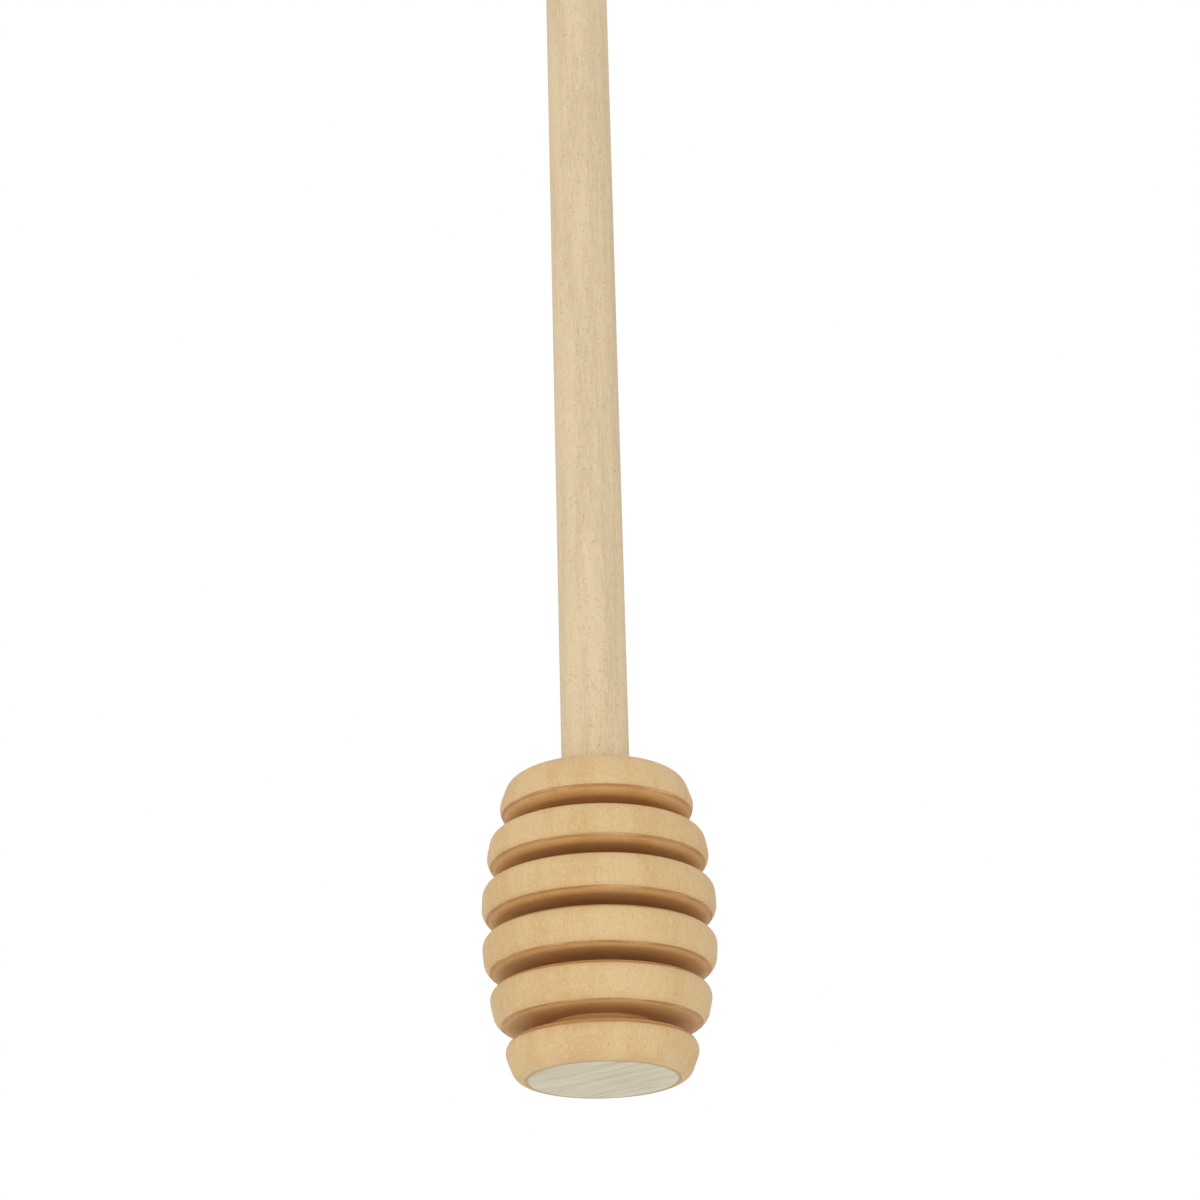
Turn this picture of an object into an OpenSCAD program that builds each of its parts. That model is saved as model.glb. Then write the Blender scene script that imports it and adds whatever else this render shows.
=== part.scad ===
// Honey dipper: a turned, ribbed wooden head glued onto a plain dowel handle.
// It stands on the flat end of its head at z = 0, and the axis of the lathe is the Z axis.

/* [Head] */
// Number of ribs turned into the head
rib_count = 6; // [4:1:8]
// Distance from one rib to the next
rib_pitch = 6.08; // [5.6:0.02:7]
// Width of each groove between two ribs
groove_w = 1.45; // [1:0.05:2]
// Thickness of the rib next to the handle
shoulder_rib_w = 5.2; // [4.4:0.1:8]
// Diameter at the widest point of the head
head_d = 27.1; // [25:0.1:34]
// Diameter of the barrel outline where it meets the flat end
head_end_d = 19.6; // [18.6:0.1:22]
// How far the widest point lies above the middle of the head
belly_shift = 0.4; // [0:0.1:1]
// Diameter of the core at the bottom of the grooves
core_d = 12.4; // [11:0.1:15]
// Rounding of the rib edges that face the flat end
lower_edge_r = 1.8; // [0.4:0.1:1.9]
// Rounding of the rib edges that face the handle
upper_edge_r = 1.5; // [0.4:0.1:1.6]
// Rounding of the shoulder, where the top rib turns in towards the handle
shoulder_r = 2.1; // [0.4:0.1:2.4]

/* [Handle] */
// Diameter of the handle
handle_d = 8; // [7:0.1:9]
// How far the handle stands out of the head
handle_len = 124.4; // [100:0.1:160]
// Rounding of the rim at the free end of the handle
handle_end_r = 1; // [0.2:0.1:1.5]

/* [Glued joint] */
// Diameter of the drilled socket in the head
socket_d = 6; // [5:0.1:6.4]
// Depth of the straight part of the socket
socket_depth = 18; // [12:0.5:18]
// Gap between the tenon and the wall of its socket, filled with glue
glue_gap = 0.1; // [0.05:0.05:0.3]
// Gap between the end of the tenon and the end of the straight socket
glue_floor = 0.4; // [0.2:0.1:1]
// Bevel on the end of the tenon, which leads it into the socket
tenon_bevel = 0.6; // [0.2:0.1:1]
// Angle of the drill point that leaves the bottom of the socket
drill_point = 118; // [100:1:140]

/* [Hidden] */
$fn = 96;

rib_w = rib_pitch - groove_w;
head_len = (rib_count - 1) * rib_pitch + shoulder_rib_w;
handle_end_z = head_len + handle_len;

// The outline of the head is one arc, widest a little above the middle.
belly_z = head_len / 2 + belly_shift;
belly_drop = (head_d - head_end_d) / 2;
barrel_r = (pow(belly_z, 2) + pow(belly_drop, 2)) / (2 * belly_drop);
barrel_x = head_d / 2 - barrel_r;

// The tenon stops a little short of the bottom of its socket.
socket_z = head_len - socket_depth;
drill_tip = socket_d / 2 / tan(drill_point / 2);
tenon_d = socket_d - 2 * glue_gap;
tenon_z = socket_z + glue_floor;

// Centre of an edge rounding of radius r at height z, so that it runs smoothly into the barrel arc
function edge_centre(z, r) = [barrel_x + sqrt(pow(barrel_r - r, 2) - pow(z - belly_z, 2)), z];

// The corner between a rib's flank and the barrel arc, outside the rounding; side is -1 below, 1 above
module corner(centre, r, side) {
    out = (centre - [barrel_x, belly_z]) / (barrel_r - r);
    reach = 2 * r;
    polygon([
        centre,
        centre + [0, side * reach],
        centre + [2 * reach, side * reach],
        centre + 2 * reach * out
    ]);
}

// Half section of one rib, from height z up to z + w, with its upper edge rounded to top_r
module rib_section(z, w, top_r) {
    low = edge_centre(z + lower_edge_r, lower_edge_r);
    high = edge_centre(z + w - top_r, top_r);
    difference() {
        intersection() {
            translate([barrel_x, belly_z]) circle(r = barrel_r);
            translate([0, z]) square([head_d, w]);
        }
        corner(low, lower_edge_r, -1);
        corner(high, top_r, 1);
    }
    translate(low) circle(r = lower_edge_r);
    translate(high) circle(r = top_r);
}

// Half section of the whole head, solid
module head_section() {
    square([core_d / 2, head_len]);
    for (i = [0 : rib_count - 2])
        rib_section(i * rib_pitch, rib_w, upper_edge_r);
    rib_section(head_len - shoulder_rib_w, shoulder_rib_w, shoulder_r);
}

// Half section of the drilled socket with its drill point; extra runs it out past the mouth
module socket_section(extra = 0) {
    polygon([
        [0, socket_z - drill_tip],
        [socket_d / 2, socket_z],
        [socket_d / 2, head_len + extra],
        [0, head_len + extra]
    ]);
}

// Half section of the handle: the tenon with its bevel, the shoulder and the rounded free end
module handle_section() {
    rim = [handle_d / 2 - handle_end_r, handle_end_z - handle_end_r];
    polygon([
        [0, tenon_z],
        [tenon_d / 2 - tenon_bevel, tenon_z],
        [tenon_d / 2, tenon_z + tenon_bevel],
        [tenon_d / 2, head_len],
        [handle_d / 2, head_len],
        [handle_d / 2, rim[1]],
        rim,
        [rim[0], handle_end_z],
        [0, handle_end_z]
    ]);
    intersection() {
        translate(rim) circle(r = handle_end_r);
        translate(rim) square(handle_end_r);
    }
}

// The turned head with its blind socket
module head() {
    color("burlywood")
        rotate_extrude()
            difference() {
                head_section();
                socket_section(extra = 1);
            }
}

// The dowel handle, with its shoulder seated on the head
module handle() {
    color("wheat")
        rotate_extrude() handle_section();
}

// The set glue: a thin sleeve round the tenon, and the drill point filled up
module glue_bond() {
    color("khaki")
        rotate_extrude()
            difference() {
                socket_section();
                handle_section();
            }
}

head();
handle();
glue_bond();
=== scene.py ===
import math
import bpy
from mathutils import Matrix, Vector


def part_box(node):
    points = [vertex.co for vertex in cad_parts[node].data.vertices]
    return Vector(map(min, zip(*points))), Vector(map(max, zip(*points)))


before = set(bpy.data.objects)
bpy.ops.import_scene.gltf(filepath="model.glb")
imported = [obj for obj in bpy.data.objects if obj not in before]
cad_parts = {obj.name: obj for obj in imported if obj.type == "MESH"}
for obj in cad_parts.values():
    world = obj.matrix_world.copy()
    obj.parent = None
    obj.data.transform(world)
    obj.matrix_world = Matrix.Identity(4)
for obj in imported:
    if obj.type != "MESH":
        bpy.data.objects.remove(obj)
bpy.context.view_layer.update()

# Head
# Turned from a block of pale close-grained hardwood with the grain along the axis, sanded and
# left bare. The cutter has rubbed the groove walls brown, and painted shade darkens them
# further.
# The flat end, cut across the grain, is greyer and shows growth lines.
MM = 0.001
HEAD_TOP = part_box("head")[1][2] / MM
HEAD_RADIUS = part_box("head")[1][0] / MM
HEAD_FACE = "dab986"
HEAD_PALE = "e0c699"
HEAD_GOLD = "d0a86f"
HEAD_FLECK = "bd8f57"
# Multiply for the groove walls: partly the cutter's brown rub, partly painted shade
GROOVE_RUB_AND_SHADE = "fae8d0"
GROOVE_EDGE = "a96f33"
END_GRAIN = "dcd5bf"
END_STREAK = "cbbf9f"
END_RIM = "b48a58"
RELIEF_LOW = 0.3
RELIEF_HIGH = 1.5
RELIEF_STRENGTH = 0.45
ROUGHNESS_IN_PORES = 0.74
ROUGHNESS_ON_FACES = 0.52


def colour(hex_text):
    """An sRGB colour such as d9b98a as the linear values that Blender takes."""
    values = [int(hex_text[i:i + 2], 16) / 255 for i in (0, 2, 4)]
    linear = [v / 12.92 if v <= 0.04045 else ((v + 0.055) / 1.055) ** 2.4 for v in values]
    return (*linear, 1.0)


def add_node(owner, kind, settings):
    """Adds one shader node; a setting is an attribute, an input's value or an output to link."""
    made = owner.node_tree.nodes.new(kind)
    for name, value in settings.items():
        if isinstance(value, bpy.types.NodeSocket):
            owner.node_tree.links.new(value, made.inputs[name])
        elif isinstance(name, str) and hasattr(made, name):
            setattr(made, name, value)
        else:
            made.inputs[name].default_value = value
    return made


def bare_material(name):
    """A new material, its shader, and its object coordinates in millimetres."""
    material = bpy.data.materials.new(name)
    material.use_nodes = True
    place = add_node(material, "ShaderNodeTexCoord", {})
    scaled = add_node(material, "ShaderNodeVectorMath",
                      {"operation": "SCALE", 0: place.outputs["Object"], "Scale": 1 / MM})
    return material, material.node_tree.nodes["Principled BSDF"], scaled.outputs[0]


def all_past(material, steps, strength=1.0):
    """Strength where every value is past its far limit, fading to 0 at its near limit."""
    share = strength
    for value, near, far in steps:
        step = add_node(material, "ShaderNodeMapRange",
                        {"interpolation_type": "SMOOTHSTEP", "Value": value,
                         "From Min": near, "From Max": far})
        share = add_node(material, "ShaderNodeMath",
                         {"operation": "MULTIPLY", 0: share, 1: step.outputs[0]}).outputs[0]
    return share


def lay_over(material, tone, coats):
    """Lays coats over a colour, each a share, a way of mixing and a colour."""
    for share, way, tint in coats:
        tone = add_node(material, "ShaderNodeMix",
                        {"data_type": "RGBA", "blend_type": way,
                         0: share, 6: tone, 7: tint}).outputs[2]
    return tone


def grow(material, place, spots_per_mm, detail=3.0):
    """A natural pattern with so many spots to the millimetre along X, Y and Z."""
    spread = add_node(material, "ShaderNodeVectorMath",
                      {"operation": "MULTIPLY", 0: place, 1: spots_per_mm})
    return add_node(material, "ShaderNodeTexNoise",
                    {"Vector": spread.outputs[0], "Scale": 1.0, "Detail": detail,
                     "Roughness": 0.62}).outputs["Fac"]


def sanded(material, shader, tone, reliefs, depth_mm):
    """Gives bare wood its colour, and a relief and a dullness that follow its patterns."""
    relief = 0.0
    for pattern, weight in reliefs:
        relief = add_node(material, "ShaderNodeMath",
                          {"operation": "MULTIPLY_ADD", 0: pattern, 1: weight,
                           2: relief}).outputs[0]
    dullness = add_node(material, "ShaderNodeMapRange",
                        {"Value": relief, "From Min": RELIEF_LOW, "From Max": RELIEF_HIGH,
                         "To Min": ROUGHNESS_IN_PORES, "To Max": ROUGHNESS_ON_FACES})
    bump = add_node(material, "ShaderNodeBump",
                    {"Height": relief, "Strength": RELIEF_STRENGTH,
                     "Distance": depth_mm * MM})
    material.node_tree.links.new(tone, shader.inputs["Base Color"])
    material.node_tree.links.new(dullness.outputs[0], shader.inputs["Roughness"])
    material.node_tree.links.new(bump.outputs["Normal"], shader.inputs["Normal"])


# Bare sanded hardwood: dull and close-grained, so the eye sees soft light and hardly any gloss
head_wood, shader, lathe = bare_material("bare_turned_hardwood")
height = add_node(head_wood, "ShaderNodeSeparateXYZ", {"Vector": lathe}).outputs["Z"]
flat = add_node(head_wood, "ShaderNodeVectorMath",
                {"operation": "MULTIPLY", 0: lathe, 1: (1.0, 1.0, 0.0)})
across = add_node(head_wood, "ShaderNodeVectorMath",
                  {"operation": "LENGTH", 0: flat.outputs[0]}).outputs["Value"]

# Broad figure, fibres along the axis, short pores and faint turning lines round the ribs. The
# fibres and pores are drawn two or three times as coarse as real ones, so that they show.
figure = grow(head_wood, lathe, (0.22, 0.22, 0.05))
fibre = grow(head_wood, lathe, (7.0, 7.0, 1.3))
pore = grow(head_wood, lathe, (4.2, 4.2, 3.4))
turning = grow(head_wood, lathe, (0.2, 0.2, 6.0))
tone = lay_over(head_wood, colour(HEAD_FACE), (
    (all_past(head_wood, [(figure, 0.6, 0.38)], 0.8), "MIX", colour(HEAD_GOLD)),
    (all_past(head_wood, [(fibre, 0.42, 0.7)], 0.6), "MIX", colour(HEAD_PALE)),
    (all_past(head_wood, [(turning, 0.5, 0.72)], 0.35), "MIX", colour(HEAD_PALE)),
    (all_past(head_wood, [(pore, 0.52, 0.7)], 0.45), "MIX", colour(HEAD_FLECK))))

# How deep a point lies below the barrel outline, an arc through the belly and the flat end
BELLY_DROP = 3.75
BELLY_SHIFT = 0.4
BELLY_HEIGHT = HEAD_TOP / 2 + BELLY_SHIFT
BARREL_RADIUS = (BELLY_HEIGHT ** 2 + BELLY_DROP ** 2) / (2 * BELLY_DROP)
rise = add_node(head_wood, "ShaderNodeMath",
                {"operation": "SUBTRACT", 0: height, 1: BELLY_HEIGHT}).outputs[0]
square = add_node(head_wood, "ShaderNodeMath", {"operation": "MULTIPLY", 0: rise, 1: rise})
inside = add_node(head_wood, "ShaderNodeMath",
                  {"operation": "SUBTRACT", 0: BARREL_RADIUS ** 2, 1: square.outputs[0]})
arc = add_node(head_wood, "ShaderNodeMath", {"operation": "SQRT", 0: inside.outputs[0]})
outline = add_node(head_wood, "ShaderNodeMath",
                   {"operation": "ADD", 0: arc.outputs[0], 1: HEAD_RADIUS - BARREL_RADIUS})
depth = add_node(head_wood, "ShaderNodeMath",
                 {"operation": "SUBTRACT", 0: outline.outputs[0], 1: across}).outputs[0]

# The walls of the grooves, brown from the cutter's rub and darkened with painted shade, and a
# thin scorched line here and there where the cutter left the rib
WALL_BEGINS = 0.45
WALL_FULL = 0.8
LOWEST_WALL = 2.0
HIGHEST_WALL = HEAD_TOP - 2.6
END_FADE = 1.0
between_ends = [(height, LOWEST_WALL, LOWEST_WALL + END_FADE),
                (height, HIGHEST_WALL, HIGHEST_WALL - END_FADE)]
groove_rub_and_shade = all_past(head_wood, [(depth, WALL_BEGINS, WALL_FULL)] + between_ends)
torn = all_past(head_wood, [(depth, 0.5, 0.9), (pore, 0.42, 0.62)] + between_ends, 0.25)
scorched = all_past(head_wood, [(depth, 0.42, 0.56), (depth, 0.95, 0.62),
                                (turning, 0.32, 0.52)] + between_ends, 0.8)

# Growth lines run slantwise over the flat end, and the cutter left a thin brown line at its rim
FACE_RADIUS = 8.6
END_SLANT = math.radians(37)
turned = add_node(head_wood, "ShaderNodeVectorRotate",
                  {"rotation_type": "Z_AXIS", "Vector": lathe, "Angle": END_SLANT})
streak = grow(head_wood, turned.outputs[0], (0.07, 0.75, 0.0), 5.0)
end_tone = lay_over(head_wood, colour(END_GRAIN), (
    (all_past(head_wood, [(streak, 0.36, 0.66)]), "MIX", colour(END_STREAK)),
    (all_past(head_wood, [(pore, 0.5, 0.7)], 0.15), "MIX", colour(HEAD_FLECK))))
on_end = all_past(head_wood, [(height, 0.01, 0.002)])
on_rim = all_past(head_wood, [(height, 0.03, 0.01),
                              (across, FACE_RADIUS - 0.3, FACE_RADIUS)], 0.7)
# The groove walls take a multiply that is partly the cutter's brown rub and partly painted shade
tone = lay_over(head_wood, tone, (
    (groove_rub_and_shade, "MULTIPLY", colour(GROOVE_RUB_AND_SHADE)),
    (torn, "MIX", colour(HEAD_FLECK)),
    (scorched, "MIX", colour(GROOVE_EDGE)),
    (on_end, "MIX", end_tone),
    (on_rim, "MIX", colour(END_RIM))))
sanded(head_wood, shader, tone, ((fibre, 0.5), (pore, 0.8), (turning, 0.5)), 0.07)
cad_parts["head"].material_slots[0].material = head_wood

# Handle
# A bought dowel of another hardwood, paler and greyer than the head, left bare, with long
# fibres, small pits and orange flecks. Its shouldered tenon is glued into the head.
DOWEL_FACE = "dfc7a0"
DOWEL_PALE = "e5d3b2"
DOWEL_GREY = "d3bd96"
DOWEL_FLECK = "be8f58"

# Bare dowel wood: dull and open-grained, so the eye sees small pits and fibres and no gloss
handle_wood, shader, lathe = bare_material("bare_dowel_wood")
figure = grow(handle_wood, lathe, (0.5, 0.5, 0.03))
fibre = grow(handle_wood, lathe, (6.0, 6.0, 0.5))
pit = grow(handle_wood, lathe, (3.4, 3.4, 2.2))
tone = lay_over(handle_wood, colour(DOWEL_FACE), (
    (all_past(handle_wood, [(figure, 0.6, 0.38)]), "MIX", colour(DOWEL_GREY)),
    (all_past(handle_wood, [(fibre, 0.42, 0.72)], 0.7), "MIX", colour(DOWEL_PALE)),
    (all_past(handle_wood, [(pit, 0.54, 0.7)], 0.5), "MIX", colour(DOWEL_FLECK))))
sanded(handle_wood, shader, tone, ((fibre, 0.7), (pit, 1.0)), 0.09)
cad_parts["handle"].material_slots[0].material = handle_wood

# Glue bond
# Wood glue, squeezed into a thin sleeve round the tenon and set to a dull amber film. The
# socket hides it.
GLUE_AMBER = "d8c28a"
GLUE_CLOUD = "e6d8ae"

# Set wood glue: a dull film, a little cloudy
set_glue, shader, lathe = bare_material("set_wood_glue")
cloud = grow(set_glue, lathe, (1.2, 1.2, 1.2))
tone = lay_over(set_glue, colour(GLUE_AMBER), (
    (all_past(set_glue, [(cloud, 0.3, 0.7)]), "MIX", colour(GLUE_CLOUD)),))
sanded(set_glue, shader, tone, ((cloud, 1.0),), 0.02)
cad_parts["glue_bond"].material_slots[0].material = set_glue

# Floor
# A plain white tabletop, wide enough to fill the picture, which keeps the dipper's shadow.
# The camera looks up at the flat end from below it, so it shows only to an eye above it.
FLOOR_SIZE = 4.0
bpy.ops.object.select_all(action="DESELECT")
bpy.ops.mesh.primitive_plane_add(size=FLOOR_SIZE, location=(0, 0, 0))
floor = bpy.context.object
floor.name = "floor"
floor_paint = bpy.data.materials.new("white_tabletop")
floor_paint.use_nodes = True
shader = floor_paint.node_tree.nodes["Principled BSDF"]
shader.inputs["Base Color"].default_value = colour("f4f4f4")
shader.inputs["Roughness"].default_value = 0.9
shader.inputs["Emission Color"].default_value = (1, 1, 1, 1)
shader.inputs["Emission Strength"].default_value = 0.2
seen = add_node(floor_paint, "ShaderNodeLightPath", {})
side = add_node(floor_paint, "ShaderNodeNewGeometry", {})
front = add_node(floor_paint, "ShaderNodeMath",
                 {"operation": "SUBTRACT", 0: 1.0, 1: side.outputs["Backfacing"]})
shown = add_node(floor_paint, "ShaderNodeMath",
                 {"operation": "MULTIPLY", 0: front.outputs[0],
                  1: seen.outputs["Is Camera Ray"]})
clear = add_node(floor_paint, "ShaderNodeBsdfTransparent", {})
one_way = add_node(floor_paint, "ShaderNodeMixShader",
                   {0: shown.outputs[0], 1: clear.outputs[0], 2: shader.outputs[0]})
floor_paint.node_tree.links.new(
    one_way.outputs[0], floor_paint.node_tree.nodes["Material Output"].inputs["Surface"])
floor.data.materials.append(floor_paint)

# Light
# Plain soft studio light: an even pale surround, white behind the object, and one wide lamp on
# the side of the camera, a little to the left.
SURROUND = 0.82
LAMP_PLACE = Vector((-0.25, -1.3, -0.3))
LAMP_AIM = Vector((0.0, 0.0, 0.05))
LAMP_SIZE = 0.6
LAMP_WATTS = 4.4

world = bpy.data.worlds.new("studio")
world.use_nodes = True
bpy.context.scene.world = world
background = world.node_tree.nodes["Background"]
background.inputs["Color"].default_value = (1, 1, 1, 1)
path = add_node(world, "ShaderNodeLightPath", {})
level = add_node(world, "ShaderNodeMapRange",
                 {"Value": path.outputs["Is Camera Ray"], "To Min": SURROUND, "To Max": 1.0})
world.node_tree.links.new(level.outputs["Result"], background.inputs["Strength"])

lamp = bpy.data.objects.new("window", bpy.data.lights.new("window", "AREA"))
lamp.data.size = LAMP_SIZE
lamp.data.energy = LAMP_WATTS
lamp.location = LAMP_PLACE
lamp.rotation_euler = (LAMP_AIM - LAMP_PLACE).to_track_quat("-Z", "Y").to_euler()
bpy.context.scene.collection.objects.link(lamp)

# Camera
# It looks up at the flat end from a little below it. TARGET_PIXEL is where the point of the
# axis at TARGET_HEIGHT falls in the picture.
FOCAL_PIXELS = 2844.0
PICTURE_PIXELS = 1200.0
AXIS_TO_VIEW = math.radians(66.67)
ROLL = math.radians(1.5)
TARGET_HEIGHT = 17.5 * MM
TARGET_PIXEL = (599.6, 930.0)
TARGET_DISTANCE = 326.4 * MM

forward = Vector((0, math.sin(AXIS_TO_VIEW), math.cos(AXIS_TO_VIEW)))
upright = Vector((0, -math.cos(AXIS_TO_VIEW), math.sin(AXIS_TO_VIEW)))
right = math.cos(ROLL) * Vector((1, 0, 0)) - math.sin(ROLL) * upright
up = math.sin(ROLL) * Vector((1, 0, 0)) + math.cos(ROLL) * upright
target = Vector((0, 0, TARGET_HEIGHT))
shift_x = (TARGET_PIXEL[0] - PICTURE_PIXELS / 2) / FOCAL_PIXELS * TARGET_DISTANCE
shift_y = (PICTURE_PIXELS / 2 - TARGET_PIXEL[1]) / FOCAL_PIXELS * TARGET_DISTANCE
eye = target - TARGET_DISTANCE * forward - shift_x * right - shift_y * up
camera = bpy.data.objects.new("camera", bpy.data.cameras.new("camera"))
camera.data.angle = 2 * math.atan(PICTURE_PIXELS / 2 / FOCAL_PIXELS)
camera.data.clip_start = 0.01
camera.matrix_world = Matrix((
    (right.x, up.x, -forward.x, eye.x),
    (right.y, up.y, -forward.y, eye.y),
    (right.z, up.z, -forward.z, eye.z),
    (0, 0, 0, 1)))
bpy.context.scene.collection.objects.link(camera)
bpy.context.scene.camera = camera
bpy.context.scene.view_settings.view_transform = "Standard"
